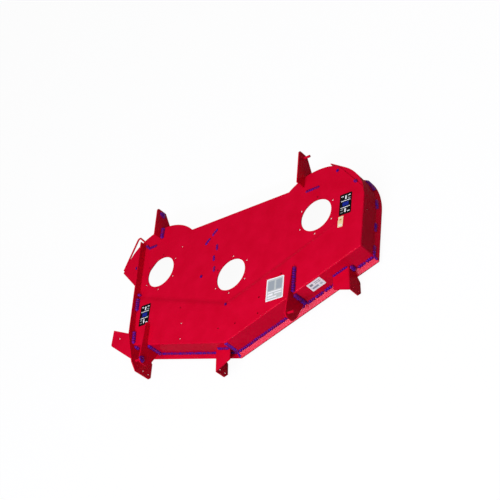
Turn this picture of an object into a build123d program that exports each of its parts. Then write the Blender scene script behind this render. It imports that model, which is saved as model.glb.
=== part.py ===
from build123d import *
import os
from math import acos, asin, cos, degrees, radians, sin, sqrt, tan

# Shell of a three-spindle, side-discharge mower deck, welded from folded sheet and cut plate.
# X runs to the closed end, Y to the rear and Z up. The origin is the centre spindle's axis on the top face.

# Material
sheet = 4.5
plate = 6.35
fold_radius = 7.0
weld_gap = 0.2

# Blades and spindles: the blade circles overlap along the machine, and the stagger keeps the tips apart
blade_length = 520.7
blade_overlap = 19.05
blade_gap = 10.5
tip_clearance = 12.65
spindle_bore = 176.7
bolt_circle = 213.0
bolt_hole = 9.5
bolt_count = 6
bolt_first_angle = 30.0

# Plan of the top sheet
nose_x = 15.0
nose_room = 114.0
right_leg_angle = 21.3
left_leg_angle = 14.0
rear_waist = 70.7
front_depth = 138.0
rear_depth = 150.0
corner_radius = 9.0

# Discharge end: the scroll widens there, and the side plate stands on the sheet's edge
scroll_shift_x = -18.0
scroll_shift_y = 7.0
scroll_growth = 8.0
wing_tip_angle = 164.8
wing_root_ahead = 76.7
side_from_spindle = 125.35
side_angle = 3.5

# Raised front strip, with a soft step across the top behind it
rise = 7.0
step_width = 40.0
step_apex_x = 1.0
step_from_nose = 219.0
step_left_angle = 19.2
strip_margin = 12.0
strip_slope_length = 160.0
fade_length = 420.0

# Bullnose lip along the front and the closed end
lip_sheet = 3.0
lip_reach = 22.0
end_lip_reach = 14.0
lip_height = 32.0
lip_edge = 8.0
lip_tuck = 4.0
lip_bottom_up = 2.0
lip_wrap_angle = 48.0

# Rear corner of the closed end: the top is cut straight, over a flanged strip with a straight free end
corner_cut_angle = 40.5
corner_cut_in = 28.6
corner_flange = 44.0
corner_flange_end = 66.0
corner_leave_angle = 57.0
corner_tail = 106.0

# Hangers and their pins
rear_hanger_left_out = 36.35
rear_hanger_right_in = 88.65
rear_hanger_left_foot = 15.0
rear_hanger_right_foot = -9.0
rear_hanger_reach = 109.3
rear_hanger_height = 64.0
rear_hanger_slope = 8.0
rear_hanger_drop = 76.0
rear_hanger_corner = 12.0
front_hanger_left_out = 8.35
front_hanger_right_in = 96.65
front_hanger_left_foot = 115.0
front_hanger_right_foot = 142.0
front_hanger_back = 16.0
front_hanger_height = 36.0
front_hanger_left_heel = 31.0
front_hanger_right_heel = 20.0
front_hanger_lip_room = 10.0
heel_run = 28.0
heel_rise = 3.0
crown_run = 40.0
throat_run = 30.0
throat_drop = 46.0
hanger_nose = 20.0
pin_d = 12.7
pin_length = 36.0
pin_proud = 2.0
pin_chamfer = 1.5
front_pin_from_end = 23.0
front_pin_z = 20.0
rear_pin_from_end = 22.0
rear_pin_z = 22.0

# Roller brackets
roller_plate = 5.0
roller_bend = 7.0
roller_flange_top = -60.0
roller_flange_width = 90.0
roller_reach = 130.0
roller_flange_short = 36.0
roller_toe = 7.0
roller_right_in = 104.65
roller_centre_out = 107.0
ear_chamfer = 24.0
ear_hole = 10.5
ear_hole_from_front = 25.0
ear_hole_top = -93.0
ear_hole_pitch = 38.0

# Discharge side plate
side_rear_past = 15.0
side_height = 38.0
side_drop_behind = 37.0
side_drop = 10.0
side_shoulder_ahead = 98.0
side_shoulder_drop = 5.0
side_reach = 138.0

# Chute rod and chute bracket
rod_d = 9.5
rod_corner_radius = 13.0
rod_start_angle = 121.5
rod_loop = 58.0
rod_lean = 3.0
rod_touch_angle = 159.0
rod_tail = 12.0
chute_plate = 4.5
chute_bend = 7.0
chute_top = -10.0
chute_reach = 159.0
chute_width = 93.0
chute_rear_behind = 135.8
chute_rear_angle = -22.7
chute_fold_angle = -35.0
chute_leg_outer = 14.0
chute_leg_inner = 60.0
chute_hole = 10.5
chute_hole_in = 55.0
chute_hole_ahead = 63.0

# Baffles under the top
baffle_sheet = 3.0
baffle_depth = 115.0
divider_depth = 25.0
rear_divider_x = -204.0
rear_divider_y = 242.0
rear_divider_across = 70.0
rear_divider_along = 72.0
centre_divider_x = -125.0
centre_divider_y = 220.0
centre_divider_across = 9.0
centre_divider_along = -168.0

# Holes for covers and guides in the top, and two in the walls
cover_hole = 9.0
cover_holes = [(-307, -103), (-289, -198), (-285, -284), (-35, -297), (70, -297), (204, -194), (205, -280),
               (328, -102), (-374, 289)]
end_wall_hole_y = 131.0
end_wall_hole_z = -34.0
left_wall_hole_x = -150.0
left_wall_hole_z = -37.0

# Sizes that follow from those above
FAR = 2500.0
spindle_spacing = blade_length - blade_overlap
spindle_pitch = blade_length + blade_gap
spindle_stagger = sqrt(spindle_pitch ** 2 - spindle_spacing ** 2)
scallop = blade_length / 2 + tip_clearance
end_x = spindle_spacing + scallop
rear_edge = spindle_stagger + scallop - rear_waist
side_x = -spindle_spacing - side_from_spindle
nose = Vector(nose_x, -scallop - nose_room)
right_out = Vector(sin(radians(right_leg_angle)), -cos(radians(right_leg_angle)))
left_out = Vector(-sin(radians(left_leg_angle)), -cos(radians(left_leg_angle)))
end_out = Vector(1, 0)
front_corner = Vector(end_x, nose.Y + tan(radians(right_leg_angle)) * (end_x - nose.X))
right_spindle = Vector(spindle_spacing, spindle_stagger)
left_spindle = Vector(-spindle_spacing, spindle_stagger)
scroll_centre = left_spindle + Vector(scroll_shift_x, scroll_shift_y)
scroll = scallop + scroll_growth
under = -sheet - weld_gap
lip_bottom = -front_depth + lip_bottom_up
lip_knee = lip_bottom + lip_edge
lip_top = lip_bottom + lip_height
side_outer_x = side_x - plate / cos(radians(side_angle))
rear_hanger_end = spindle_stagger + scallop + rear_hanger_reach
front_hanger_end = nose.Y + front_hanger_back
rear_pin_y = rear_hanger_end - rear_pin_from_end
front_pin_y = front_hanger_end + front_pin_from_end


def side_line(x_at_origin, y):
    """Point of a line along the discharge end at the given Y."""
    return Vector(x_at_origin - tan(radians(side_angle)) * y, y)


def left_wall_y(x):
    """Y of the left front wall's outer face."""
    return nose.Y + tan(radians(left_leg_angle)) * (nose.X - x)


def right_wall_y(x):
    """Y of the right front wall's outer face."""
    return nose.Y + tan(radians(right_leg_angle)) * (x - nose.X)


def polar(centre, radius, angle):
    return centre + Vector(cos(radians(angle)), sin(radians(angle))) * radius


def wall_plane(point, outward):
    """Section plane of a wall: local x points out of the wall and local y is up."""
    return Plane(origin=point, x_dir=outward, z_dir=(outward.Y, -outward.X, 0))


def outline(points):
    return make_face(Polyline(*points, close=True))


def run(plane, points, length=FAR):
    """A section drawn in a plane and run both ways along its normal."""
    return extrude(plane * outline(points), amount=length, both=True)


def ring_strip(centre, outer, start, end, top, bottom, thickness=sheet):
    """A strip rolled round a vertical axis."""
    size = end - start
    sector = make_face([
        CenterArc(centre, outer, start, size),
        Line(polar(centre, outer, end), polar(centre, outer - thickness, end)),
        CenterArc(centre, outer - thickness, start, size),
        Line(polar(centre, outer - thickness, start), polar(centre, outer, start)),
    ])
    return extrude(Pos(0, 0, bottom) * sector, amount=top - bottom)


def drill(x, y, diameter):
    return Pos(x, y, 0) * Cylinder(diameter / 2, 6 * sheet + 4 * rise)


right_plane = wall_plane(nose, right_out)
left_plane = wall_plane(nose, left_out)
end_plane = wall_plane(front_corner, end_out)

# Plan outline of the top sheet, anticlockwise from the nose
right_rear_angle = 180 - degrees(asin((rear_edge - right_spindle.Y) / scallop))
left_rear_angle = degrees(asin((rear_edge - scroll_centre.Y) / scroll))
cut_half = degrees(acos((scallop - corner_cut_in) / scallop))
cut_start = corner_cut_angle - cut_half
cut_end = corner_cut_angle + cut_half
wing_tip = polar(scroll_centre, scroll, wing_tip_angle)
wing_root = side_line(side_outer_x, spindle_stagger - wing_root_ahead)
slope_side, slope_leg = tan(radians(side_angle)), tan(radians(left_leg_angle))
left_front_y = (nose.Y + slope_leg * (nose.X - side_outer_x)) / (1 - slope_leg * slope_side)
left_front = side_line(side_outer_x, left_front_y)
plan = make_face([
    Line(nose, front_corner),
    Line(front_corner, polar(right_spindle, scallop, 0)),
    CenterArc(right_spindle, scallop, 0, cut_start),
    Line(polar(right_spindle, scallop, cut_start), polar(right_spindle, scallop, cut_end)),
    CenterArc(right_spindle, scallop, cut_end, right_rear_angle - cut_end),
    Line(polar(right_spindle, scallop, right_rear_angle), polar(scroll_centre, scroll, left_rear_angle)),
    CenterArc(scroll_centre, scroll, left_rear_angle, wing_tip_angle - left_rear_angle),
    Line(wing_tip, wing_root),
    Line(wing_root, left_front),
    Line(left_front, nose),
])


def folded_block(face, top, bottom, radius, corner):
    """A block whose front and closed-end top edges are rounded as the sheet's folds are."""
    block = extrude(Pos(0, 0, top) * face, amount=bottom - top)
    def on_fold(edge):
        spot = edge.center()
        ahead = spot.Y < max(left_wall_y(spot.X), right_wall_y(spot.X)) + 2 * sheet
        at_end = abs(spot.X - end_x) < 2 * sheet
        return abs(spot.Z - top) < 0.01 and (ahead or at_end)
    corner_edges = [e for e in block.edges().filter_by(Axis.Z)
                    if (Vector(e.center().X, e.center().Y) - front_corner).length < 3 * sheet]
    block = fillet(corner_edges, corner)
    return fillet([e for e in block.edges() if on_fold(e)], radius)


def cross(point_a, dir_a, point_b, dir_b):
    """Crossing of two lines in plan."""
    gap = point_b - point_a
    share = (gap.X * dir_b.Y - gap.Y * dir_b.X) / (dir_a.X * dir_b.Y - dir_a.Y * dir_b.X)
    return point_a + dir_a * share


def raised_strip():
    """The body that the front strip stands above the plain of the top."""
    body = extrude(plan, amount=rise)
    half = step_width / 2
    step_left_out = Vector(-sin(radians(step_left_angle)), -cos(radians(step_left_angle)))
    behind = []
    for out in (right_out, step_left_out):
        section = make_face([
            Line((-FAR, 0), (-half, 0)),
            TangentArc((-half, 0), (0, rise / 2), tangent=(1, 0)),
            TangentArc((half, rise), (0, rise / 2), tangent=(-1, 0)),
            Line((half, rise), (half, 2 * rise)),
            Line((half, 2 * rise), (-FAR, 2 * rise)),
            Line((-FAR, 2 * rise), (-FAR, 0)),
        ])
        behind.append(extrude(wall_plane(Vector(step_apex_x, nose.Y + step_from_nose), out) * section,
                              amount=FAR, both=True))
    body -= behind[0] & behind[1]
    for plane, length in ((right_plane, strip_slope_length), (left_plane, strip_slope_length),
                          (end_plane, fade_length)):
        lift = rise * (FAR - strip_margin) / length
        above = lift + FAR
        body -= run(plane, [(FAR, 0), (-strip_margin, 0), (-FAR, lift), (-FAR, above), (FAR, above)])
    return body


strip = raised_strip()
strip_seat = Pos(0, 0, weld_gap) * strip


def folded_room(inset, top, bottom):
    """Block inside the front walls and the closed end, running on past the rear and the discharge end."""
    along_right = Vector(-right_out.Y, right_out.X)
    along_left = Vector(left_out.Y, -left_out.X)
    nose_in = cross(nose - right_out * inset, along_right, nose - left_out * inset, along_left)
    corner_in = cross(nose - right_out * inset, along_right, Vector(end_x - inset, 0), Vector(0, 1))
    beyond = Vector(-FAR, left_wall_y(-FAR)) - left_out * inset
    face = outline([nose_in, corner_in, (end_x - inset, FAR), (-FAR, FAR), beyond])
    return folded_block(face, top, bottom, fold_radius - inset, corner_radius - inset)


def deck_top():
    outer = folded_room(0, 0, -front_depth) & extrude(plan, amount=-front_depth)
    inner = folded_room(sheet, -sheet, -front_depth - sheet)
    open_rear = Pos(0, right_spindle.Y, -sheet) * Box(FAR, FAR, FAR, align=(Align.MIN, Align.MIN, Align.MAX))
    top = outer - inner - open_rear + strip - Pos(0, 0, -sheet) * strip
    for centre in (left_spindle, Vector(0, 0), right_spindle):
        top -= drill(centre.X, centre.Y, spindle_bore)
        for turn in range(bolt_count):
            spot = polar(centre, bolt_circle / 2, bolt_first_angle + turn * 360 / bolt_count)
            top -= drill(spot.X, spot.Y, bolt_hole)
    for x, y in cover_holes:
        top -= drill(x, y, cover_hole)
    top -= Pos(end_x, end_wall_hole_y, end_wall_hole_z) * Rot(0, 90, 0) * Cylinder(cover_hole / 2, 4 * sheet)
    spot = Pos(left_wall_hole_x, left_wall_y(left_wall_hole_x), left_wall_hole_z)
    top -= spot * Rot(0, 0, -left_leg_angle) * Rot(90, 0, 0) * Cylinder(cover_hole / 2, 4 * sheet)
    return top


def corner_skirt():
    """Strip rolled round the rear corner, flanged under the cut top, with a straight free end."""
    start = degrees(asin(weld_gap / (scallop - sheet)))
    strip_round = ring_strip(right_spindle, scallop, start, corner_leave_angle, under, -front_depth)
    leave = polar(right_spindle, scallop - sheet / 2, corner_leave_angle)
    tail = Pos(leave.X, leave.Y, 0) * Rot(0, 0, corner_leave_angle) * Box(
        sheet, corner_tail, under + front_depth, align=(Align.CENTER, Align.MIN, Align.MIN))
    flange = ring_strip(right_spindle, scallop - sheet / 2, start, corner_flange_end, under, under - sheet,
                        corner_flange)
    return strip_round + Pos(0, 0, -front_depth) * tail + flange


def rear_skirts():
    start = corner_leave_angle + degrees(acos((scallop - sheet) / (scallop + weld_gap)))
    right = ring_strip(right_spindle, scallop, start, right_rear_angle, under, -rear_depth)
    left = ring_strip(scroll_centre, scroll, left_rear_angle, wing_tip_angle, under, -rear_depth)
    right_end = polar(right_spindle, scallop, right_rear_angle).X - weld_gap
    left_end = polar(scroll_centre, scroll, left_rear_angle).X + weld_gap
    centre = Pos(left_end, rear_edge, -rear_depth) * Box(
        right_end - left_end, sheet, under + rear_depth, align=(Align.MIN, Align.MAX, Align.MIN))
    return {"rear_skirt_right": right, "rear_skirt_centre": centre, "rear_skirt_left": left}


def lip_section(reach):
    """Section of the bent lip: a slope out of the wall and a short edge tucked in under it."""
    inside = reach - lip_sheet
    return [(weld_gap, lip_top), (reach, lip_knee), (reach - lip_tuck, lip_bottom),
            (inside - lip_tuck, lip_bottom), (inside, lip_knee - lip_sheet / 3),
            (weld_gap, lip_top - lip_sheet * sqrt(2))]


def lips():
    """Bent strips welded along the foot of the walls, mitred at the nose and the front corner."""
    nose_mitre = (right_out + left_out).normalized() * FAR
    along_right = Vector(-right_out.Y, right_out.X) * (weld_gap / 2)
    end_edge = Vector(end_x + end_lip_reach, 0)
    lip_corner = cross(nose + right_out * lip_reach, along_right, end_edge, Vector(0, 1))
    corner_mitre = (lip_corner - front_corner).normalized() * FAR
    along_left = Vector(left_out.Y, -left_out.X) * (weld_gap / 2)
    step_back = Vector(0, weld_gap / 2)

    def in_front(points):
        return extrude(Pos(0, 0, -FAR / 2) * outline(points), amount=FAR)

    right = run(right_plane, lip_section(lip_reach)) & in_front([
        nose + along_right, nose + along_right + nose_mitre,
        front_corner - along_right + corner_mitre, front_corner - along_right])
    plate_face = side_x + weld_gap
    far_left = side_line(plate_face, left_wall_y(plate_face))
    left = run(left_plane, lip_section(lip_reach)) & in_front([
        nose - along_left, side_line(plate_face, rear_edge), side_line(plate_face, far_left.Y - nose_room),
        nose - along_left + nose_mitre])
    straight = run(end_plane, lip_section(end_lip_reach)) & in_front([
        front_corner + step_back, front_corner + step_back + corner_mitre,
        (FAR, right_spindle.Y), (0, right_spindle.Y)])
    wrap_start = wall_plane(polar(right_spindle, scallop, 0), end_out)
    wrap = revolve(wrap_start * outline(lip_section(end_lip_reach)), Axis(right_spindle, (0, 0, 1)),
                   lip_wrap_angle)
    return {"front_right_lip": right, "front_left_lip": left, "right_end_lip": straight + wrap}


def wall_seat(plane):
    """Room taken by a front wall, the top and the lip, which the brackets are cut to fit."""
    lip_front = lip_reach + weld_gap
    return run(plane, [(-FAR, weld_gap), (weld_gap, weld_gap), (weld_gap, lip_top + weld_gap),
                       (lip_front, lip_knee + weld_gap), (lip_front, -FAR), (-FAR, -FAR)])


def rounded(points, soft, radius):
    """A plate outline with some of its corners rounded."""
    face = outline(points)
    spots = [Vector(*points[i]) for i in soft]
    corners = [v for v in face.vertices() if any((Vector(v) - s).length < 0.01 for s in spots)]
    return fillet(corners, radius)


def hanger_plate(face, x, pin_y, pin_z, outward):
    """A hanger's plate with its pin, which goes through the plate and stands out on one side."""
    pin = Cylinder(pin_d / 2, pin_proud + plate + pin_length)
    pin = chamfer(pin.edges().sort_by(Axis.Z)[-1], pin_chamfer)
    middle = x - plate / 2 + outward * (pin_length - pin_proud) / 2
    flat = extrude(Plane.YZ.offset(x) * face, amount=-plate)
    return flat + Pos(middle, pin_y, pin_z) * Rot(0, 90 * outward, 0) * pin


def front_hanger(x, outward, foot, heel, wall_y, seat):
    """Horn that reaches over the lip, cut to the top, the fold and the wall."""
    low = lip_top + front_hanger_lip_room
    rear = wall_y + foot
    face = rounded([
        (rear, 0), (rear, heel), (rear - heel_run, heel + heel_rise),
        (front_hanger_end + crown_run, front_hanger_height), (front_hanger_end, front_hanger_height),
        (front_hanger_end, -hanger_nose), (front_hanger_end + throat_run, -throat_drop),
        (wall_y, low), (wall_y + 2 * front_depth, low), (wall_y + 2 * front_depth, 0)],
        (4, 5), hanger_nose)
    horn = hanger_plate(face, x, front_pin_y, front_pin_z, outward) - seat - strip_seat
    return horn.solids().sort_by(SortBy.VOLUME)[-1]


def rear_hanger(x, outward, foot, centre, radius):
    """Arm that stands on the top and reaches out over the rear skirt."""
    front = rear_edge + foot
    face = rounded([
        (front, 0), (front, rear_hanger_height - rear_hanger_slope), (rear_hanger_end, rear_hanger_height),
        (rear_hanger_end, 0), (centre.Y + radius, -rear_hanger_drop), (front, -rear_hanger_drop)],
        (2, 3), rear_hanger_corner)
    drum = Pos(centre.X, centre.Y, weld_gap) * Cylinder(
        radius + weld_gap, FAR, align=(Align.CENTER, Align.CENTER, Align.MAX))
    arm = hanger_plate(face, x, rear_pin_y, rear_pin_z, outward) - drum
    return arm.solids().sort_by(SortBy.VOLUME)[-1]


def ear_holes(plane, forward):
    """The two holes of a roller ear, along the local x of the bracket's plane."""
    holes = []
    for z in (ear_hole_top, ear_hole_top - ear_hole_pitch):
        holes.append(plane * Pos(0, z, forward - ear_hole_from_front) * Rot(0, 90, 0)
                     * Cylinder(ear_hole / 2, 4 * roller_flange_width))
    return holes


def folded_section(hand, width, top, bottom, thickness, bend):
    """Section of a plate folded once: a leg hangs at x 0 and the flange runs level away from it."""
    section = outline([(0, bottom), (0, top), (-hand * width, top), (-hand * width, top - thickness),
                       (-hand * thickness, top - thickness), (-hand * thickness, bottom)])
    inner = Vector(-hand * thickness, top - thickness)
    for corner, radius in ((Vector(0, top), bend), (inner, bend - thickness)):
        section = fillet([v for v in section.vertices() if (Vector(v) - corner).length < 0.01], radius)
    return section


def roller_bracket(x, wall_y, hand, seat):
    """Folded bracket: a flange welded to the wall and an ear bent down along one side."""
    across = Vector(cos(radians(roller_toe)), sin(radians(roller_toe)))
    plane = wall_plane(Vector(x, wall_y), across)
    bottom = -rear_depth
    section = folded_section(hand, roller_flange_width, roller_flange_top, bottom, roller_plate, roller_bend)
    blank = extrude(plane * section, amount=roller_reach) + extrude(plane * section, amount=-roller_reach)
    side = Plane(origin=plane.origin, x_dir=plane.z_dir, z_dir=-plane.x_dir)
    lower_rear = lip_reach + ear_chamfer
    ear = run(side, [(-2 * roller_reach, 0), (roller_reach, 0), (roller_reach, bottom + ear_chamfer),
                     (roller_reach - ear_chamfer, bottom), (lower_rear, bottom),
                     (lip_reach, bottom + ear_chamfer), (-2 * roller_reach, bottom + ear_chamfer)])
    flat = Plane(origin=plane.origin, x_dir=plane.x_dir, z_dir=(0, 0, 1))
    free = -hand * roller_flange_width
    reach = -roller_reach
    taper = run(flat, [(0, -reach), (0, reach), (-hand * roller_bend, reach),
                       (free, reach + roller_flange_short), (free, -reach)])
    bracket = (blank & ear & taper) - seat
    for hole in ear_holes(plane, roller_reach):
        bracket -= hole
    return bracket.solids().sort_by(SortBy.VOLUME)[-1]


def side_plate(seat):
    """Upright plate along the discharge end, whose front runs on down into a roller ear."""
    along = Plane(origin=(side_x, 0, 0), x_dir=(-sin(radians(side_angle)), cos(radians(side_angle)), 0),
                  z_dir=(cos(radians(side_angle)), sin(radians(side_angle)), 0))
    bottom = -rear_depth
    wall_y = left_wall_y(side_x)
    rear = rear_edge + side_rear_past
    front = wall_y - side_reach
    face = outline([
        (rear, 0), (rear, side_height), (wall_y + side_drop_behind, side_height),
        (wall_y, side_height - side_drop), (wall_y - side_shoulder_ahead, -side_shoulder_drop),
        (front, -side_height), (front, bottom + ear_chamfer / 2), (front + ear_chamfer / 2, bottom),
        (wall_y - lip_reach - ear_chamfer, bottom), (wall_y - lip_reach, bottom + ear_chamfer),
        (rear, bottom + ear_chamfer)])
    blank = extrude(along * face, amount=-plate)
    across = Plane(origin=along.origin, x_dir=along.z_dir, z_dir=-along.x_dir)
    for hole in ear_holes(across, -front):
        blank -= hole
    return (blank - seat - strip_seat).solids().sort_by(SortBy.VOLUME)[-1]


def chute_rod():
    """Round bar bent into a hook at the rear and lying along the wing's edge."""
    level = -sheet / 2
    lane = scroll + weld_gap + rod_d / 2
    start = polar(scroll_centre, scroll - rod_d, rod_start_angle)
    touch = polar(scroll_centre, lane, rod_touch_angle)
    ahead = Vector(-sin(radians(rod_touch_angle)), cos(radians(rod_touch_angle)))
    loop = polar(scroll_centre, scroll + rod_loop, rod_start_angle + rod_lean)
    corner = cross(start, loop - start, touch, ahead)
    end = touch + ahead * rod_tail
    path = FilletPolyline((start.X, start.Y, level), (corner.X, corner.Y, level), (end.X, end.Y, level),
                          radius=rod_corner_radius)
    rod = sweep(Plane(origin=path @ 0, z_dir=path % 0) * Circle(rod_d / 2), path)
    drum = Pos(scroll_centre.X, scroll_centre.Y, 0) * Cylinder(scroll + weld_gap, FAR)
    return (rod - drum).solids().sort_by(SortBy.VOLUME)[-1]


def chute_bracket():
    """Angle outside the discharge end: a flat with one bolt hole and a leg bent down in front."""
    outer_x = side_outer_x - chute_reach
    run_in = left_front.X + 2 * plate - outer_x
    chute_rear_y = left_front.Y + chute_rear_behind
    rear_out = Vector(outer_x, chute_rear_y)
    front_out = Vector(outer_x, chute_rear_y - chute_width)
    rear_in = rear_out + Vector(run_in, run_in * tan(radians(chute_rear_angle)))
    front_in = front_out + Vector(run_in, run_in * tan(radians(chute_fold_angle)))
    along = (front_in - front_out).normalized()
    section_plane = wall_plane(front_out, Vector(-along.Y, along.X))
    leg_end = chute_top - chute_leg_inner
    section = folded_section(-1, 3 * chute_width, chute_top, leg_end, chute_plate, chute_bend)
    ahead = Vector(0, -2 * chute_plate)
    flat = run(Plane.XY, [rear_out, rear_in, front_in + ahead, front_out + ahead])
    side = Plane(origin=section_plane.origin, x_dir=along, z_dir=-section_plane.x_dir)
    length = (front_in - front_out).length
    leg = run(side, [(-length, 0), (length, 0), (length, leg_end), (0, chute_top - chute_leg_outer),
                     (-length, chute_top - chute_leg_outer)])
    angle = extrude(section_plane * section, amount=FAR, both=True) & flat & leg
    angle -= Pos(outer_x + chute_hole_in, chute_rear_y - chute_hole_ahead, chute_top) * Cylinder(
        chute_hole / 2, 4 * chute_plate)
    shell_side = Plane(origin=(side_outer_x - weld_gap, 0, 0),
                       x_dir=(-sin(radians(side_angle)), cos(radians(side_angle)), 0), z_dir=(0, 0, 1))
    angle -= run(shell_side, [(-FAR, 0), (FAR, 0), (FAR, -FAR), (-FAR, -FAR)])
    return angle.solids().sort_by(SortBy.VOLUME)[-1]


def baffles():
    """Rolled strips round the front of the blade circles, and two shallow dividers behind them."""
    heading = degrees(asin(spindle_stagger / spindle_pitch))
    cusp = degrees(acos(spindle_pitch / 2 / scallop))
    clear = degrees(2 * baffle_sheet / scallop)
    right_stop = 360 - degrees(acos((scallop - 3 * sheet) / scallop))
    left_stop = 270 - degrees(asin((side_from_spindle - 2 * sheet) / scallop))
    middle = Vector(0, 0)
    found = {
        "baffle_right": ring_strip(right_spindle, scallop, 180 + heading + cusp + clear, right_stop,
                                   under, -baffle_depth, baffle_sheet),
        "baffle_centre": ring_strip(middle, scallop, 180 - heading + cusp + clear,
                                    360 + heading - cusp - clear, under, -baffle_depth, baffle_sheet),
        "baffle_left": ring_strip(left_spindle, scallop, left_stop, 360 - heading - cusp - clear,
                                  under, -baffle_depth, baffle_sheet),
    }
    dividers = {"rear_divider": (Vector(rear_divider_x, rear_divider_y),
                                 Vector(rear_divider_across, rear_divider_along)),
                "centre_divider": (Vector(centre_divider_x, centre_divider_y),
                                   Vector(centre_divider_across, centre_divider_along))}
    for name, (start, run_of) in dividers.items():
        place = Plane(origin=(start.X, start.Y, under), x_dir=run_of, z_dir=(0, 0, 1))
        found[name] = place * Box(run_of.length, baffle_sheet, divider_depth,
                                  align=(Align.MIN, Align.CENTER, Align.MAX))
    return found


right_seat = wall_seat(right_plane)
left_seat = wall_seat(left_plane)
front_hanger_right_x = spindle_spacing - front_hanger_right_in
front_hanger_left_x = -spindle_spacing - front_hanger_left_out
rear_hanger_right_x = spindle_spacing - rear_hanger_right_in
rear_hanger_left_x = -spindle_spacing - rear_hanger_left_out
roller_right_x = end_x - roller_right_in
roller_centre_x = nose.X - roller_centre_out

pieces = {"deck_top": deck_top(), "corner_skirt": corner_skirt()}
pieces.update(rear_skirts())
pieces.update(lips())
pieces.update(baffles())
pieces["discharge_side_plate"] = side_plate(left_seat)
pieces["chute_rod"] = chute_rod()
pieces["chute_bracket"] = chute_bracket()
pieces["front_hanger_right"] = front_hanger(
    front_hanger_right_x, 1, front_hanger_right_foot, front_hanger_right_heel,
    right_wall_y(front_hanger_right_x), right_seat)
pieces["front_hanger_left"] = front_hanger(
    front_hanger_left_x, -1, front_hanger_left_foot, front_hanger_left_heel,
    left_wall_y(front_hanger_left_x), left_seat)
pieces["rear_hanger_right"] = rear_hanger(
    rear_hanger_right_x, 1, rear_hanger_right_foot, right_spindle, scallop)
pieces["rear_hanger_left"] = rear_hanger(
    rear_hanger_left_x, -1, rear_hanger_left_foot, scroll_centre, scroll)
pieces["roller_bracket_right"] = roller_bracket(roller_right_x, right_wall_y(roller_right_x), 1, right_seat)
pieces["roller_bracket_centre"] = roller_bracket(roller_centre_x, left_wall_y(roller_centre_x), -1, left_seat)

os.makedirs("parts", exist_ok=True)
for name, piece in pieces.items():
    export_step(piece, f"parts/{name}.step")
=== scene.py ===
# %% [markdown]
# # The shell of a three-spindle mower deck
# A mower deck is a shallow steel box with no floor. One sheet is folded down at the front and at one end,
# strips are rolled round the rear, and plates for hanging the deck and for its rollers are welded on.
# The shapes of those pieces come ready in the frame. This lesson adds what a welding shop and a paint line
# add to them: the coat of red powder, the weld beads along the seams, and the printed labels.

# %% Load the pieces of the deck
from math import cos, pi, radians, sin

import bpy
from mathutils import Matrix, Vector


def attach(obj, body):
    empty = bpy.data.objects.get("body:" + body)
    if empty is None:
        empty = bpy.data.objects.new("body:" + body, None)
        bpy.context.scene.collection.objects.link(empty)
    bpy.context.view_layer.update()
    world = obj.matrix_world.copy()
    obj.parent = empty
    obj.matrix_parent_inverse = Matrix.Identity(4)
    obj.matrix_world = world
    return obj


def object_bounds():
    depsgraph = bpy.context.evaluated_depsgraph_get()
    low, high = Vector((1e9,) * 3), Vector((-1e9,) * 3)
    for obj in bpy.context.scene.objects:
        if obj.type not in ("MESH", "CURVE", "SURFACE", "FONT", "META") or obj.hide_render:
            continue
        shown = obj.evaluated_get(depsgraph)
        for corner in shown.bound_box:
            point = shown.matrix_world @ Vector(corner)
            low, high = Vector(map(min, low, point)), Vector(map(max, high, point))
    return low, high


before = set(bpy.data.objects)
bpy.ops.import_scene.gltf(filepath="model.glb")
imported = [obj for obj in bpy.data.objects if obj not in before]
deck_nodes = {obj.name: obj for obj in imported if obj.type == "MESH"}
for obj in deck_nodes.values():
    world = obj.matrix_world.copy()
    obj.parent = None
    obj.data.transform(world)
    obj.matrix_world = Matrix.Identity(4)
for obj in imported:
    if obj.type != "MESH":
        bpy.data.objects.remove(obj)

cad_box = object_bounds()
print(len(deck_nodes), "pieces, from", cad_box[0], "to", cad_box[1])

# %% [markdown]
# ## The camera
# The deck is seen from its front right and from well above, through a long lens, so its parallel edges stay
# almost parallel. A constraint could aim the camera at the deck, but a place, three angles and a lens are
# all that a tripod has, and they can be read off and set again. The colours are shown with the plain
# "Standard" view, so a paint keeps the value that is written for it.

# %% Camera
camera_place = (3.475, -3.132, 3.638)
camera_angles = (38.105, 38.672, 7.574)
camera_lens = 87.25

camera_data = bpy.data.cameras.new("camera")
camera_data.lens = camera_lens
camera = bpy.data.objects.new("camera", camera_data)
camera.location = camera_place
camera.rotation_euler = [radians(angle) for angle in camera_angles]
scene = bpy.context.scene
scene.collection.objects.link(camera)
scene.camera = camera
scene.view_settings.view_transform = "Standard"
print("camera", round(Vector(camera_place).length, 2), "m from the centre spindle")

# %% [markdown]
# ## Two helpers for materials
# Colours are written as the hex codes that a paint chart or a picture editor shows. Blender mixes light in
# linear values, so one function turns a code into those. A second one adds a node, gives it its settings and
# joins its inputs, which keeps each material short enough to read as a recipe.

# %% Colour and node helpers


def linear(code):
    """Linear RGBA of an sRGB hex colour such as "#D00327"."""
    shares = [int(code[i:i + 2], 16) / 255 for i in (1, 3, 5)]
    return [s / 12.92 if s <= 0.04045 else ((s + 0.055) / 1.055) ** 2.4 for s in shares] + [1.0]


def add_node(tree, kind, settings=None, links=None):
    """A new node with its settings and with its inputs joined to other nodes' outputs."""
    node = tree.nodes.new(kind)
    for name, value in (settings or {}).items():
        if name in node.inputs:
            node.inputs[name].default_value = value
        else:
            setattr(node, name, value)
    for name, source in (links or {}).items():
        tree.links.new(source, node.inputs[name])
    return node


print("the red of the coat is", [round(value, 3) for value in linear("#D00327")[:3]])

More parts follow.
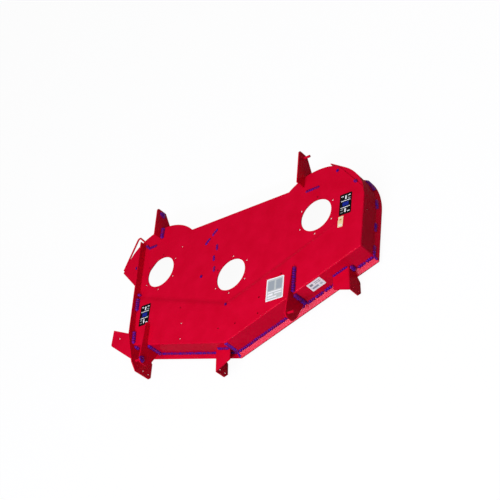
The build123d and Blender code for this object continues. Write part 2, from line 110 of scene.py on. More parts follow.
# %% [markdown]
# ## Red powder coat
# The whole shell is sprayed with polyester powder and baked. The powder melts into one even satin skin, so
# there are no brush marks. What gives it away is a faint "orange peel", low hills a few millimetres apart,
# and slow drifts of tone where the film is thicker. A noise of 90 mm gives the drift, a fine one the peel.
# The peel is drawn at 6 mm, about twice its real size, because a finer one would not show at this distance.
# The gleam could come from the base of the shader, but steep walls would then mirror the white floor and
# turn grey. A thin clear layer of low weight is used instead, which leaves the walls red and still lets the
# lip gleam.

# %% Powder coat on every piece of the frame
MM = 0.001
coat_drift = 90 * MM
coat_peel = 6 * MM


def powder_coat():
    """Satin red powder coat on steel: a strong even colour, a soft gleam and a slightly uneven skin."""
    material = bpy.data.materials.new("satin_red_powder_coat")
    material.use_nodes = True
    tree = material.node_tree
    shader = tree.nodes["Principled BSDF"]
    place = add_node(tree, "ShaderNodeTexCoord").outputs["Object"]
    drift = add_node(tree, "ShaderNodeTexNoise", {"Scale": 1 / coat_drift, "Detail": 3.0}, {"Vector": place})
    tone = add_node(tree, "ShaderNodeValToRGB", links={"Fac": drift.outputs["Fac"]})
    tone.color_ramp.elements[0].color = linear("#D00327")
    tone.color_ramp.elements[0].position = 0.3
    tone.color_ramp.elements[1].color = linear("#DA062E")
    tone.color_ramp.elements[1].position = 0.7
    gleam = add_node(tree, "ShaderNodeMapRange", {"To Min": 0.24, "To Max": 0.3},
                     {"Value": drift.outputs["Fac"]})
    peel = add_node(tree, "ShaderNodeTexNoise", {"Scale": 1 / coat_peel, "Detail": 2.0}, {"Vector": place})
    skin = add_node(tree, "ShaderNodeBump", {"Strength": 0.25, "Distance": 0.1 * MM},
                    {"Height": peel.outputs["Fac"]})
    tree.links.new(tone.outputs["Color"], shader.inputs["Base Color"])
    tree.links.new(gleam.outputs["Result"], shader.inputs["Roughness"])
    tree.links.new(skin.outputs["Normal"], shader.inputs["Normal"])
    shader.inputs["Metallic"].default_value = 0.02
    shader.inputs["Specular IOR Level"].default_value = 0.0
    shader.inputs["Coat Weight"].default_value = 0.018
    shader.inputs["Coat Roughness"].default_value = 0.14
    shader.inputs["Coat IOR"].default_value = 2.0
    return material


coat = powder_coat()
for node in deck_nodes.values():
    node.material_slots[0].material = coat
print("coated", len(deck_nodes), "pieces")

# %% [markdown]
# ## One ripple of a weld bead
# A bead of arc weld freezes in steps, and each drop of metal leaves a crescent that overlaps the last one.
# It could be drawn as bumps in a material, but a bead also has height and catches the light from the side.
# So one ripple is modelled: a circle is extruded in steps and drawn in at both ends, which lets copies join
# at the valleys. Its top leans forward as the crescents do, and its underside, which the seam hides, is
# flattened. A metre of seam takes some eighty ripples, so one has only a few dozen faces. They are 12 mm
# apart, about four times the real distance, and most beads are two to three times as wide as real ones,
# because finer ones would not show.

# %% Weld ripple
bead_width = 14 * MM
bead_height = 4.6 * MM
ripple_pitch = 12 * MM
ripple_lean = 3 * MM
ripple_sides = 10
ripple_shape = ((0, 0.4), (0.15, 0.78), (0.45, 1), (0.78, 0.84), (1, 0.4))
lean_levels = (0.12, 0.4, 0.73)
underside = 0.3


def pick(piece, wanted):
    """Selects in edit mode the points of a piece whose place is wanted."""
    bpy.ops.object.mode_set(mode="EDIT")
    bpy.ops.mesh.select_mode(type="VERT")
    bpy.ops.mesh.select_all(action="DESELECT")
    bpy.ops.object.mode_set(mode="OBJECT")
    for point in piece.data.vertices:
        point.select = wanted(point.co)
    bpy.ops.object.mode_set(mode="EDIT")


bpy.ops.object.select_all(action="DESELECT")
bpy.ops.mesh.primitive_circle_add(vertices=ripple_sides, radius=1, rotation=(0, pi / 2, 0))
ripple = bpy.context.object
bpy.ops.object.transform_apply(rotation=True)
bpy.ops.object.mode_set(mode="EDIT")
bpy.ops.mesh.select_all(action="SELECT")
valley = ripple_shape[0][1]
bpy.ops.transform.resize(value=(1, valley * bead_width / 2, valley * bead_height), center_override=(0, 0, 0))
for (before, was), (after, now) in zip(ripple_shape, ripple_shape[1:]):
    step = (after - before) * ripple_pitch
    bpy.ops.mesh.extrude_edges_move(TRANSFORM_OT_translate={"value": (step, 0, 0)})
    bpy.ops.transform.resize(value=(1, now / was, now / was), center_override=(0, 0, 0))
for level in lean_levels:
    pick(ripple, lambda place: place.z > level * bead_height)
    bpy.ops.transform.translate(value=(ripple_lean / len(lean_levels), 0, 0))
pick(ripple, lambda place: place.z < -0.1 * MM)
bpy.ops.transform.resize(value=(1, 1, underside), center_override=(0, 0, 0))
bpy.ops.object.mode_set(mode="OBJECT")
print("a ripple has", len(ripple.data.polygons), "faces")

# %% [markdown]
# ## Runs of bead
# A run is a row of ripples along a seam. An Array modifier makes the row and merges the valleys. Then the
# open ends are drawn in and closed, as a bead tapers where the arc starts and stops. The row is made along
# X, so it is turned to lie from one end of its seam to the other, with its crown along the direction in
# which the seam opens. Where the bead is fat, its middle is lifted out of the seam along that crown, so that
# its edges meet the plates and nothing comes out on their far sides. Round a pin the row is bent into a full
# turn by a Simple Deform modifier, and its two ends are merged. A curve with a round bevel would follow a
# seam too, but it would leave a smooth rod.

# %% Rows of ripples
merge_reach = 0.05 * MM


def ripple_row(count):
    """A row of ripples along X with open ends, left in edit mode."""
    bpy.ops.object.select_all(action="DESELECT")
    ripple.select_set(True)
    bpy.context.view_layer.objects.active = ripple
    bpy.ops.object.duplicate()
    row = bpy.context.object
    array = row.modifiers.new("ripples", "ARRAY")
    array.count = count
    array.use_relative_offset = False
    array.use_constant_offset = True
    array.constant_offset_displace = (ripple_pitch, 0, 0)
    array.use_merge_vertices = True
    array.merge_threshold = merge_reach
    bpy.ops.object.modifier_apply(modifier=array.name)
    bpy.ops.object.mode_set(mode="EDIT")
    bpy.ops.mesh.select_mode(type="VERT")
    return row


def lay(row, place, along, crown, stretch, size):
    """Puts a row that was made along X into its seam."""
    crown = (crown - along * crown.dot(along)).normalized()
    turn = Matrix((along, crown.cross(along), crown)).transposed().to_4x4()
    row.matrix_world = Matrix.Translation(place) @ turn @ Matrix.Diagonal((stretch, size, size, 1))
    bpy.ops.object.transform_apply(location=True, rotation=True, scale=True)
    return row


print("a row of 100 mm has", round(100 * MM / ripple_pitch), "ripples")

# %% Straight runs
end_taper = 0.45
end_reach = 0.3 * ripple_pitch


def run(start, end, crown, size=1.0, lift=0.0):
    """A run of bead between two points in millimetres. Lift is how far its middle stands off the seam."""
    path = (Vector(end) - Vector(start)) * MM
    count = max(2, round(path.length / ripple_pitch))
    length = count * ripple_pitch
    row = ripple_row(count)
    bpy.ops.mesh.select_all(action="DESELECT")
    bpy.ops.mesh.select_non_manifold()
    bpy.ops.mesh.extrude_edges_move()
    bpy.ops.transform.resize(value=(1 + 2 * end_reach / length, end_taper, end_taper),
                             center_override=(length / 2, 0, 0))
    bpy.ops.mesh.select_all(action="SELECT")
    bpy.ops.mesh.fill_holes(sides=0)
    bpy.ops.mesh.normals_make_consistent(inside=False)
    bpy.ops.object.mode_set(mode="OBJECT")
    place = Vector(start) + Vector(crown).normalized() * lift
    return lay(row, place * MM, path.normalized(), Vector(crown), path.length / length, size)


print("a run tapers to", end_taper, "of its width over", round(end_reach / MM, 1), "mm")

# %% Rings


def ring(centre, axis, radius, size=1.0):
    """A run of bead round a pin, its crown along the pin's axis."""
    count = round(2 * pi * radius * MM / size / ripple_pitch)
    length = count * ripple_pitch
    row = ripple_row(count)
    bpy.ops.object.mode_set(mode="OBJECT")
    places = [point.co.x for point in row.data.vertices]
    turn = row.modifiers.new("turn", "SIMPLE_DEFORM")
    turn.deform_method = "BEND"
    turn.deform_axis = "Z"
    turn.angle = 2 * pi * (max(places) - min(places)) / length
    bpy.ops.object.modifier_apply(modifier=turn.name)
    bpy.ops.object.mode_set(mode="EDIT")
    bpy.ops.mesh.select_all(action="SELECT")
    bpy.ops.mesh.remove_doubles(threshold=2 * merge_reach)
    bpy.ops.mesh.normals_make_consistent(inside=False)
    bpy.ops.transform.translate(value=(0, -length / (2 * pi), 0))
    bpy.ops.object.mode_set(mode="OBJECT")
    return lay(row, Vector(centre) * MM, Vector((0, 1, 0)), Vector(axis), size, size)


print("the ends of a ring are merged within", round(2 * merge_reach / MM, 2), "mm")

# %% [markdown]
# ## Heat-tinted weld steel
# Hot steel grows a thin skin of oxide, and light that bounces inside that skin comes out coloured. The
# thickness of the skin sets the colour, from straw to violet to deep blue, so a fresh bead is banded where
# it cooled at different speeds. A picture of a bead could be wrapped on, but a ramp needs no image and shows
# no joins, so here a noise of 14 mm moves a ramp between blue and violet. The metal under the skin still
# gleams, so the shader is part metallic, and a noise of 2 mm roughens it as scale does. Both are drawn a few
# times as coarse as on real steel, so that they show.

# %% Material of the welds
tint_band = 14 * MM
scale_grain = 2 * MM


def tinted_weld_steel():
    """Weld steel with its heat tint: blue and violet bands, and a broken gleam along the ripples."""
    material = bpy.data.materials.new("heat_tinted_weld_steel")
    material.use_nodes = True
    tree = material.node_tree
    shader = tree.nodes["Principled BSDF"]
    place = add_node(tree, "ShaderNodeTexCoord").outputs["Object"]
    band = add_node(tree, "ShaderNodeTexNoise", {"Scale": 1 / tint_band, "Detail": 2.0}, {"Vector": place})
    tint = add_node(tree, "ShaderNodeValToRGB", links={"Fac": band.outputs["Fac"]})
    tint.color_ramp.elements[0].color = linear("#500C92")
    tint.color_ramp.elements[0].position = 0.35
    tint.color_ramp.elements[1].color = linear("#88065A")
    tint.color_ramp.elements[1].position = 0.66
    middle = tint.color_ramp.elements.new(0.5)
    middle.color = linear("#6A0874")
    grain = add_node(tree, "ShaderNodeTexNoise", {"Scale": 1 / scale_grain, "Detail": 3.0},
                     {"Vector": place})
    gleam = add_node(tree, "ShaderNodeMapRange", {"To Min": 0.32, "To Max": 0.6},
                     {"Value": grain.outputs["Fac"]})
    skin = add_node(tree, "ShaderNodeBump", {"Strength": 0.4, "Distance": 0.15 * MM},
                    {"Height": grain.outputs["Fac"]})
    tree.links.new(tint.outputs["Color"], shader.inputs["Base Color"])
    tree.links.new(gleam.outputs["Result"], shader.inputs["Roughness"])
    tree.links.new(skin.outputs["Normal"], shader.inputs["Normal"])
    shader.inputs["Metallic"].default_value = 0.25
    shader.inputs["Specular IOR Level"].default_value = 0.1
    return material


weld_steel = tinted_weld_steel()
print("made", weld_steel.name)

# %% Runs joined into the weld of a seam
smooth_up_to = 60


def weld(name, *runs):
    """Joins the runs of one seam into a piece that rides on the deck."""
    bpy.ops.object.select_all(action="DESELECT")
    for piece in runs:
        piece.select_set(True)
    seam = runs[0]
    bpy.context.view_layer.objects.active = seam
    if len(runs) > 1:
        bpy.ops.object.join()
    seam.name = name
    bpy.ops.object.shade_smooth_by_angle(angle=radians(smooth_up_to))
    seam.data.materials.clear()
    seam.data.materials.append(weld_steel)
    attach(seam, "root")
    print(name, "has", len(runs), "runs and", len(seam.data.polygons), "faces")


print("edges of up to", smooth_up_to, "degrees are shaded smooth")

# %% [markdown]
# ## Welds along the front lips
# The bent lip is a strip of its own, and a bead along its upper edge holds it to the wall. That edge is
# found in the mesh of the lip: its highest points, from the one with the smallest X to the one with the
# largest. It could be typed in, but a bead that is found this way stays on its seam if the lip changes. The
# beads are long, and they stop at the brackets. Each opens a little upwards, because the lip slants out
# below it.

# %% Lip welds
UP = Vector((0, 0, 1))
edge_depth = 0.5
lip_tilt = 0.6
lip_bead = 1.35
lip_lift = 1.5
right_spans = [(24, 394), (411, 452), (460, 500), (508, 546), (554, 592), (690, 728), (735, 768)]
left_spans = [(-502, -296), (-292, -100), (-62, 6)]


def lip_seam(name):
    """Ends of the edge along which a lip is welded, in millimetres, and the way straight out of its wall."""
    points = [point.co / MM for point in deck_nodes[name].data.vertices]
    height = max(point.z for point in points)
    edge = sorted((point for point in points if point.z > height - edge_depth), key=lambda point: point.x)
    return edge[0], edge[-1], (edge[-1] - edge[0]).cross(UP).normalized()


def stitches(seam, spans):
    """Runs of bead on a straight seam, one for each span of X."""
    left, right, out = seam
    found = []
    for ends in spans:
        start, end = (left.lerp(right, (x - left.x) / (right.x - left.x)) for x in ends)
        found.append(run(start, end, out + lip_tilt * UP, lip_bead, lip_lift))
    return found


right_lip = lip_seam("front_right_lip")
left_lip = lip_seam("front_left_lip")
weld("weld_lip_front_right", *stitches(right_lip, right_spans))
weld("weld_lip_front_left", *stitches(left_lip, left_spans))

# %% [markdown]
# ## The weld of the nose
# The two front walls meet in a corner, the nose of the deck, which is welded from the top to the lip and on
# across the mitre of the two lips. It is an outside corner, so the bead is sunk a little instead of lifted.
# One row could be bent where the lip begins, but two straight runs that overlap there look the same.

# %% Nose weld
nose_top = -9
nose_bead = 1.6
nose_lift = -2.5
nose_overlap = 3
nose_reach = 17
nose_drop = 19

nose = right_lip[0]
nose_out = right_lip[2] + left_lip[2]
nose_foot = nose + nose_overlap * UP
nose_tip = nose + nose_out.normalized() * nose_reach - nose_drop * UP
weld("weld_nose", run((nose.x, nose.y, nose_top), nose_foot, nose_out, nose_bead, nose_lift),
     run(nose_foot, nose_tip, nose_out + UP))

# %% [markdown]
# ## Stitches on the closed end
# The wall of the closed end carries less, so its lip is held by short stitches with wide gaps. One longer
# and fatter bead lies where the strip is rolled round the rear corner. That corner is an arc about the right
# spindle, so the ends of its runs are worked out from angles. Each run is straight, and short enough to
# follow the arc.

# %% Stitches on the closed end
corner_centre = Vector((501.65, 174.7, 0))
corner_radius = 273
corner_lift = 2
corner_bead = 2.1
corner_step = 5.3
corner_angles = (24.5, 29.8, 35.1)
end_bead = 1.4
end_step = 5
end_angles = (0, 5)
end_spans = ((91, 46), (-34, -87))
end_tail = Vector((9, -11, -16))
end_tail_out = (1, -0.8, 0.8)
lip_height = nose.z


def round_corner(angle):
    """Point on the rolled corner strip at the height of the lip's upper edge, and the way out of it."""
    out = Vector((cos(radians(angle)), sin(radians(angle)), 0))
    return corner_centre + out * corner_radius + lip_height * UP, out


def corner_run(start, end, size):
    """A run of bead between two angles round the rear corner."""
    first, out = round_corner(start)
    return run(first, round_corner(end)[0], out + lip_tilt * UP, size, corner_lift * size)


front_corner = right_lip[1]
end_out = Vector((1, 0, lip_tilt))
end_runs = [corner_run(angle, angle + end_step, end_bead) for angle in end_angles]
for rear, front in end_spans:
    start, end = Vector((front_corner.x, rear, lip_height)), Vector((front_corner.x, front, lip_height))
    end_runs.append(run(start, end, end_out, end_bead, lip_lift))
weld("weld_lip_end", *end_runs, run(front_corner, front_corner + end_tail, end_tail_out))
weld("weld_lip_corner", *[corner_run(angle, angle + corner_step, corner_bead) for angle in corner_angles])

# %% [markdown]
# ## Welds of the hangers
# Each hanger plate that stands on the deck is welded along its foot. The seam is a right angle between plate
# and sheet, so its bead opens halfway between the two and is fatter than the beads of the lip. The sheet
# isn't flat, so the height of each foot is measured by a ray that drops on it. The front hangers reach down
# over the front walls, where an upright bead holds them.

# %% Feet of the hangers
fillet_bead = 1.7
fillet_lift = 8
ray_start = 100
# X of the plate's face, its Y from and to, and the side on which the bead lies
hanger_feet = {"front_right": (405, -95, -229, 1), "rear_left": (-538, 394, 456, 1),
               "rear_right": (406.65, 386, 428, -1)}


def on_top(x, y):
    """The point of the top sheet at a place in plan, in millimetres."""
    above = Vector((x, y, ray_start)) * MM
    return deck_nodes["deck_top"].ray_cast(above, -UP)[1] / MM


def foot_run(start, end, crown, size=fillet_bead, lift=fillet_lift):
    """A run of bead on the top sheet, between two places in plan."""
    return run(on_top(*start), on_top(*end), crown, size, lift)


for hanger, (x, first, last, side) in hanger_feet.items():
    weld("weld_foot_" + hanger, foot_run((x, first), (x, last), (side, 0, 1)))

# %% Upright beads of the front hangers
RIGHT = Vector((1, 0, 0))
# The seam of the wall's lip, X of the plate's face, and the upper and lower end of the bead
hanger_walls = {"front_right": (right_lip, 405, -6, -92), "front_left": (left_lip, -510, -4, -100)}


def wall_point(seam, x, z):
    """Point of a front wall, above the seam of its lip, at the given X and height."""
    left, right = seam[:2]
    place = left.lerp(right, (x - left.x) / (right.x - left.x))
    return Vector((place.x, place.y, z))


def wall_run(seam, x, top, bottom):
    """An upright run of bead between a front wall and the right side of a plate that stands on it."""
    start, end = (wall_point(seam, x, z) for z in (top, bottom))
    return run(start, end, seam[2] + RIGHT, fillet_bead, fillet_lift)


for hanger, place in hanger_walls.items():
    weld("weld_wall_" + hanger + "_hanger", wall_run(*place))

# %% [markdown]
# ## Welds round the hanger pins
# A hanger pin goes through a hole in its plate, and it is welded round on the side away from its free end.
# A ring of ripples could be laid one by one, but a bent row keeps its valleys merged. On the left hangers
# that side is in plain view and has a fat bead. On the right ones it is turned away and has a thin one.

# %% Pins
pin_radius = 6.35
ring_gap = 2
# Where the pin comes through, the side on which it is welded, and the size of the bead
pin_rings = {"front_left": ((-510, -348, 20), 1, 1.6), "rear_left": ((-538, 535, 22), 1, 1.7),
             "front_right": ((398.65, -348, 20), -1, 0.9), "rear_right": ((406.65, 535, 22), -1, 0.9)}
for pin, (centre, side, size) in pin_rings.items():
    weld("weld_pin_" + pin, ring(centre, (side, 0, 0), pin_radius + ring_gap * size, size))

# %% [markdown]
# ## Welds of the roller brackets
# Small rollers in front keep the deck from cutting into humps of the lawn. Their brackets have a flange that
# lies flat on the front wall, with a bead along its upper edge. That bead lies against the wall and on the
# edge of the flange, so its crown points almost straight out of the wall. The right bracket also has an
# upright bead, made as those of the front hangers are.

# %% Roller brackets
flange_top = -60
flange_tilt = 0.3
flange_lift = 1.5
right_flange = (586, 660, 1.2)
right_ear = (671.5, -66, -98)
centre_flange = (-76, -6, 1.6)


def flange_run(seam, first, last, size):
    """A run of bead along the upper edge of a flange that lies flat on a front wall."""
    start, end = (wall_point(seam, x, flange_top) for x in (first, last))
    return run(start, end, seam[2] + flange_tilt * UP, size, flange_lift * size)


weld("weld_roller_right", flange_run(right_lip, *right_flange), wall_run(right_lip, *right_ear))
weld("weld_roller_centre", flange_run(left_lip, *centre_flange))

# %% [markdown]
# ## Welds of the side plate and the chute bracket
# The upright plate along the open end stiffens the top sheet. A long bead would warp the sheet, so the plate
# is held by short ones with gaps between. It stands a little askew in plan, so the places of the beads are
# worked out from its slope. One more bead goes down the front wall, and two lie at its rear end. The bracket
# of the chute is welded to the outside of the plate.

# %% Side plate and chute bracket
side_x = -627
side_slope = 0.0612
side_spans = [(-225, -160), (-33, 37), (58, 70)]
side_corner = (-612.5, -10, -36)
rear_bead = 1.4
rear_lift = 4
bracket_seam = Vector((-615.5, -311, -44))
bracket_drop = 20
bracket_out = (-0.85, -0.5, 0)


def side_foot(y):
    """Place in plan where the side plate's inner face stands on the top."""
    return side_x - side_slope * y, y


side_runs = [foot_run(side_foot(start), side_foot(end), (1, 0, 1)) for start, end in side_spans]
side_runs.append(wall_run(left_lip, *side_corner))
side_runs.append(foot_run((-643, 382), (-624, 359), (0.6, 0.3, 1), rear_bead, rear_lift))
side_runs.append(foot_run((-621, 358), (-566, 361), UP, rear_bead, 0))
weld("weld_side_plate", *side_runs)
weld("weld_chute_bracket",
     run(bracket_seam, bracket_seam - bracket_drop * UP, bracket_out, fillet_bead, fillet_lift))

# %% [markdown]
# ## Welds through the top sheet
# The dividers under the top are held by beads that come through slots in the sheet, so they show as short
# lines and spots on top. Slots could be cut for them, but beads that lie half in the sheet look the same.
# Their ends are places in plan, and the ray finds the height of the sheet there.

# %% Through welds
line_bead = 1.2
spot_bead = 1.4
through_lines = [((426, 338), (504, 339)), ((-204, 242), (-176, 271)), ((-162, 285), (-134, 314)),
                 ((-122, 217), (-117, 183)), ((-133, 153), (-128, 122)), ((-121, 84), (-117, 55))]
through_spots = [((-206, 46), (-196, 54)), ((-8, -176), (3, -173)), ((604, 392), (615, 399)),
                 ((714, 298), (727, 283)), ((-699, 253), (-688, 261))]
weld("weld_through_lines", *[foot_run(start, end, UP, line_bead, 0) for start, end in through_lines])
weld("weld_through_spots", *[foot_run(start, end, UP, spot_bead, 0) for start, end in through_spots])

# %% [markdown]
# ## Stitches along the rear edge
# The straight rear skirt butts against the edge of the top sheet and is stitched to it from outside. The
# stitches are small and evenly spaced, so a loop lays them. After them the ripple has done its work, and it
# is removed.

# %% Rear stitches
rear_edge = 377
seam_height = -4.6
stitch_bead = 0.6
stitch_length = 42
stitch_places = (-211, -70, 71, 212)

rear_stitches = [run((x, rear_edge, seam_height), (x + stitch_length, rear_edge, seam_height), (0, 1, 0),
                     stitch_bead) for x in stitch_places]
weld("weld_rear_edge", *rear_stitches)
bpy.data.objects.remove(ripple)

# %% [markdown]
# ## Label films
# Labels are printed vinyl, rolled on to the paint. The ink lies under a thin clear skin, so a label is even
# in colour. One function makes the film, and each ink is a pair of close tones that a noise mixes, as print
# is never quite flat. The noise is drawn at 1.5 mm, far coarser than the dots of real print, which would not
# show at this distance.

# %% Films
film_grain = 1.5 * MM


def vinyl_film(name, light, dark):
    """Printed vinyl film: an even ink under a thin clear skin, a little dull where the sheet is uneven."""
    material = bpy.data.materials.new(name)
    material.use_nodes = True
    tree = material.node_tree
    shader = tree.nodes["Principled BSDF"]
    place = add_node(tree, "ShaderNodeTexCoord").outputs["Object"]
    grain = add_node(tree, "ShaderNodeTexNoise", {"Scale": 1 / film_grain, "Detail": 2.0}, {"Vector": place})
    gleam = add_node(tree, "ShaderNodeMapRange", {"To Min": 0.3, "To Max": 0.45},
                     {"Value": grain.outputs["Fac"]})
    ink = add_node(tree, "ShaderNodeValToRGB", links={"Fac": grain.outputs["Fac"]})
    ink.color_ramp.elements[0].color = linear(dark)
    ink.color_ramp.elements[1].color = linear(light)
    tree.links.new(ink.outputs["Color"], shader.inputs["Base Color"])
    tree.links.new(gleam.outputs["Result"], shader.inputs["Roughness"])
    shader.inputs["Specular IOR Level"].default_value = 0.08
    return material


inks = {"black": ("#0C0C0E", "#060608"), "blue": ("#1A2C9C", "#122078"),
        "white": ("#FAFAF6", "#EAEAE6"), "grey": ("#9A9C98", "#868884"),
        "pale_grey": ("#A8B0B2", "#969EA0"), "silver": ("#CCD0C8", "#B8BEB6"),
        "warm_white": ("#FFFAF0", "#FBF4E8"), "cream": ("#FAE2B4", "#F2D4A2"),
        "straw": ("#F6DA98", "#EBC984"), "orange": ("#D88A44", "#C4742E")}
films = {ink: vinyl_film(ink + "_vinyl_film", *tones) for ink, tones in inks.items()}
print(len(films), "films")

# %% [markdown]
# ## Labels
# These labels carry only fields of colour. A label starts as a plane of its real size, which is cut along
# the edges of its fields, so that each field is a set of faces with a film of its own. Its corners are
# rounded, as a label is cut so that it doesn't peel. Then it is pressed on to the sheet by a Shrinkwrap
# modifier and given the thickness of the film by Solidify. A picture on a plane would be quicker, but it
# would neither follow the sheet nor have an edge.

# %% Cutting a label
label_corner = 4 * MM
edge_share = 0.499


def cut_label(size, ground, fields):
    """A flat label with its fields. A field is a film and the spans of width and height that it fills."""
    width, height = size[0] * MM, size[1] * MM
    bpy.ops.object.select_all(action="DESELECT")
    bpy.ops.mesh.primitive_plane_add(size=1)
    piece = bpy.context.object
    bpy.ops.object.mode_set(mode="EDIT")
    bpy.ops.transform.resize(value=(width, height, 1), center_override=(0, 0, 0))
    for _, across, up in fields:
        for share in across:
            bpy.ops.mesh.select_all(action="SELECT")
            bpy.ops.mesh.bisect(plane_co=((share - 0.5) * width, 0, 0), plane_no=(1, 0, 0))
        for share in up:
            bpy.ops.mesh.select_all(action="SELECT")
            bpy.ops.mesh.bisect(plane_co=(0, (share - 0.5) * height, 0), plane_no=(0, 1, 0))
    pick(piece, lambda spot: abs(spot.x) > edge_share * width and abs(spot.y) > edge_share * height)
    bpy.ops.mesh.bevel(offset=label_corner, segments=3, affect="VERTICES")
    bpy.ops.mesh.select_all(action="SELECT")
    bpy.ops.mesh.subdivide(number_cuts=2)
    bpy.ops.mesh.quads_convert_to_tris(quad_method="BEAUTY", ngon_method="BEAUTY")
    bpy.ops.object.mode_set(mode="OBJECT")
    piece.data.materials.append(films[ground])
    for film, (left, right), (low, high) in fields:
        piece.data.materials.append(films[film])
        for face in piece.data.polygons:
            across, up = face.center.x / width + 0.5, face.center.y / height + 0.5
            if left < across < right and low < up < high:
                face.material_index = len(piece.data.materials) - 1
    return piece


print("labels have corners of", round(label_corner / MM), "mm")

# %% Pressing a label on
film_thickness = 0.25 * MM
label_gap = 0.05 * MM


def label(name, place, along, outward, size, ground, fields):
    """A label that is pressed on to the top sheet or a wall."""
    piece = cut_label(size, ground, fields)
    piece.name = name
    along, outward = Vector(along).normalized(), Vector(outward).normalized()
    turn = Matrix((along, outward.cross(along), outward)).transposed().to_4x4()
    piece.matrix_world = Matrix.Translation(Vector(place) * MM) @ turn
    press = piece.modifiers.new("press", "SHRINKWRAP")
    press.target = deck_nodes["deck_top"]
    press.wrap_method = "PROJECT"
    press.use_project_z = True
    press.use_negative_direction = True
    press.use_positive_direction = True
    press.offset = label_gap
    bpy.ops.object.modifier_apply(modifier=press.name)
    skin = piece.modifiers.new("skin", "SOLIDIFY")
    skin.thickness = film_thickness
    skin.offset = 1
    bpy.ops.object.modifier_apply(modifier=skin.name)
    bpy.ops.object.transform_apply(location=True, rotation=True)
    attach(piece, "root")
    print(name, "has", len(piece.data.polygons), "faces")


print("labels are", round(film_thickness / MM, 2), "mm thick")

# %% Dark labels on the top
dark_fields = [("blue", (0.26, 0.74), (0.41, 0.59)), ("white", (0.12, 0.88), (0.64, 0.67)),
               ("white", (0.44, 0.56), (0.72, 0.9)), ("white", (0.12, 0.32), (0.86, 0.9)),
               ("grey", (0.68, 0.88), (0.72, 0.78)), ("white", (0.68, 0.88), (0.86, 0.9)),
               ("white", (0.12, 0.88), (0.33, 0.36)), ("white", (0.44, 0.56), (0.1, 0.28)),
               ("grey", (0.12, 0.32), (0.22, 0.28)), ("white", (0.68, 0.88), (0.1, 0.14)),
               ("grey", (0.12, 0.32), (0.1, 0.14))]
label("label_dark_left", (-560, -72, 10), RIGHT, UP, (68, 122), "black", dark_fields)
label("label_dark_right", (672, 177, 10), RIGHT, UP, (69, 120), "black", dark_fields)

# %% Pale labels on the top
small_fields = [("orange", (0.28, 0.72), (0.62, 0.76)), ("straw", (0.2, 0.8), (0.4, 0.56)),
                ("white", (0.2, 0.8), (0.12, 0.24))]
silver_fields = [("silver", (0.06, 0.94), (0.05, 0.95)), ("pale_grey", (0.1, 0.46), (0.46, 0.88)),
                 ("pale_grey", (0.56, 0.9), (0.46, 0.88)), ("white", (0.1, 0.9), (0.36, 0.41)),
                 ("white", (0.1, 0.4), (0.22, 0.31)), ("white", (0.48, 0.9), (0.26, 0.31)),
                 ("white", (0.1, 0.62), (0.11, 0.17))]
label("label_small", (651, 81, 10), RIGHT, UP, (29, 61), "cream", small_fields)
label("label_silver", (297, -175, 20), RIGHT, UP, (101, 120), "white", silver_fields)

# %% Label on the front wall
wall_label_x = 509
wall_label_z = -38
wall_label_stand_off = 5
wall_fields = [("grey", (0.12, 0.34), (0.58, 0.82)), ("grey", (0.46, 0.9), (0.75, 0.81)),
               ("grey", (0.46, 0.9), (0.59, 0.65)), ("pale_grey", (0.12, 0.58), (0.2, 0.4)),
               ("silver", (0.7, 0.88), (0.2, 0.4))]
wall_out = right_lip[2]
wall_place = wall_point(right_lip, wall_label_x, wall_label_z) + wall_out * wall_label_stand_off
label("label_wall", wall_place, UP.cross(wall_out), wall_out, (76, 57), "warm_white", wall_fields)

# %% [markdown]
# ## Floor
# The deck stands on a wide pale floor whose rim sweeps up far away, as a paper backdrop does. The floor
# shows white to the eye and in gloss, but it throws little light back on the sheet, so the faces that turn
# away from the lamps stay deep red. A plain white floor would fill those faces with light and flatten them.

# %% Floor
floor_height = cad_box[0].z
floor_radius = 14.0
floor_sides = 96
rim_reach = 4.0
rim_height = 5.0
rim_steps = (0.5, 0.5)


def paper_backdrop():
    """White backdrop paper: white to the eye with a soft shadow, darker to the light that bounces off it."""
    material = bpy.data.materials.new("white_backdrop_paper")
    material.use_nodes = True
    tree = material.node_tree
    tree.nodes.remove(tree.nodes["Principled BSDF"])
    ray = add_node(tree, "ShaderNodeLightPath").outputs
    seen = add_node(tree, "ShaderNodeMath", {"operation": "MAXIMUM"},
                    {0: ray["Is Camera Ray"], 1: ray["Is Glossy Ray"]})
    seen = add_node(tree, "ShaderNodeMath", {"operation": "MAXIMUM"},
                    {0: seen.outputs[0], 1: ray["Is Transmission Ray"]})
    paper = add_node(tree, "ShaderNodeBsdfDiffuse", {"Color": linear("#8A8A8A")})
    shadow_side = add_node(tree, "ShaderNodeBsdfDiffuse", {"Color": linear("#FFFFFF")})
    white = add_node(tree, "ShaderNodeEmission", {"Color": linear("#FFFFFF"), "Strength": 1.0})
    bright = add_node(tree, "ShaderNodeMixShader", {"Fac": 0.95},
                      {1: shadow_side.outputs[0], 2: white.outputs[0]})
    either = add_node(tree, "ShaderNodeMixShader",
                      links={"Fac": seen.outputs[0], 1: paper.outputs[0], 2: bright.outputs[0]})
    tree.links.new(either.outputs[0], tree.nodes["Material Output"].inputs["Surface"])
    return material


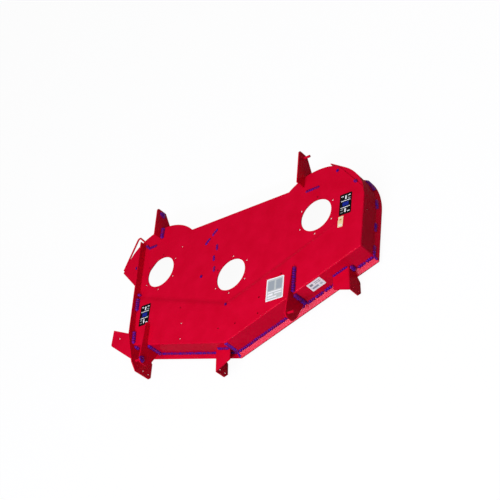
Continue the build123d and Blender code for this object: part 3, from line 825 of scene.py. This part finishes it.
bpy.ops.object.select_all(action="DESELECT")
bpy.ops.mesh.primitive_circle_add(vertices=floor_sides, radius=floor_radius, fill_type="NGON",
                                  location=(0, 0, floor_height))
floor = bpy.context.object
floor.name = "floor"
bpy.ops.object.transform_apply(location=True)
bpy.ops.object.mode_set(mode="EDIT")
bpy.ops.mesh.select_all(action="SELECT")
bpy.ops.mesh.region_to_loop()
for share in rim_steps:
    spread = 1 + share * rim_reach / floor_radius
    bpy.ops.mesh.extrude_edges_move()
    bpy.ops.transform.resize(value=(spread, spread, 1), center_override=(0, 0, 0))
    bpy.ops.transform.translate(value=(0, 0, share * rim_height))
bpy.ops.object.mode_set(mode="OBJECT")
floor.data.materials.append(paper_backdrop())
print("floor at", round(floor_height / MM), "mm")

# %% [markdown]
# ## Light
# A wide softbox overhead lights the top evenly and leaves the end wall in shade. A long narrow strip stands
# in front, at the place that the sloping front lip mirrors towards the camera, so its gleam lies along the
# whole lip. Its light is a little cool, which turns that gleam from orange to pink on the red paint. A dim
# grey sky fills the rest.

# %% Lamps and sky
lamp_distance = 6.0
sky_level = 0.25
# Direction from the deck, width and height in metres, watts and colour
lamps = {"overhead_softbox": ((0.111, -0.263, 0.958), 4.5, 4.5, 192, "#FFFFFF"),
         "front_strip": ((0.032, -0.82, 0.572), 3.0, 0.4, 240, "#DADAFF")}

for name, (direction, width, height, power, colour) in lamps.items():
    lamp_data = bpy.data.lights.new(name, "AREA")
    lamp_data.shape = "RECTANGLE"
    lamp_data.size = width
    lamp_data.size_y = height
    lamp_data.energy = power
    lamp_data.color = linear(colour)[:3]
    lamp = bpy.data.objects.new(name, lamp_data)
    lamp.location = Vector(direction).normalized() * lamp_distance
    lamp.rotation_euler = Vector(direction).to_track_quat("Z", "Y").to_euler()
    lamp.visible_camera = False
    scene.collection.objects.link(lamp)
    print(name, "of", width, "by", height, "m")

sky = bpy.data.worlds.new("dim_sky")
sky.use_nodes = True
sky.node_tree.nodes["Background"].inputs["Color"].default_value = (sky_level, sky_level, sky_level, 1)
scene.world = sky
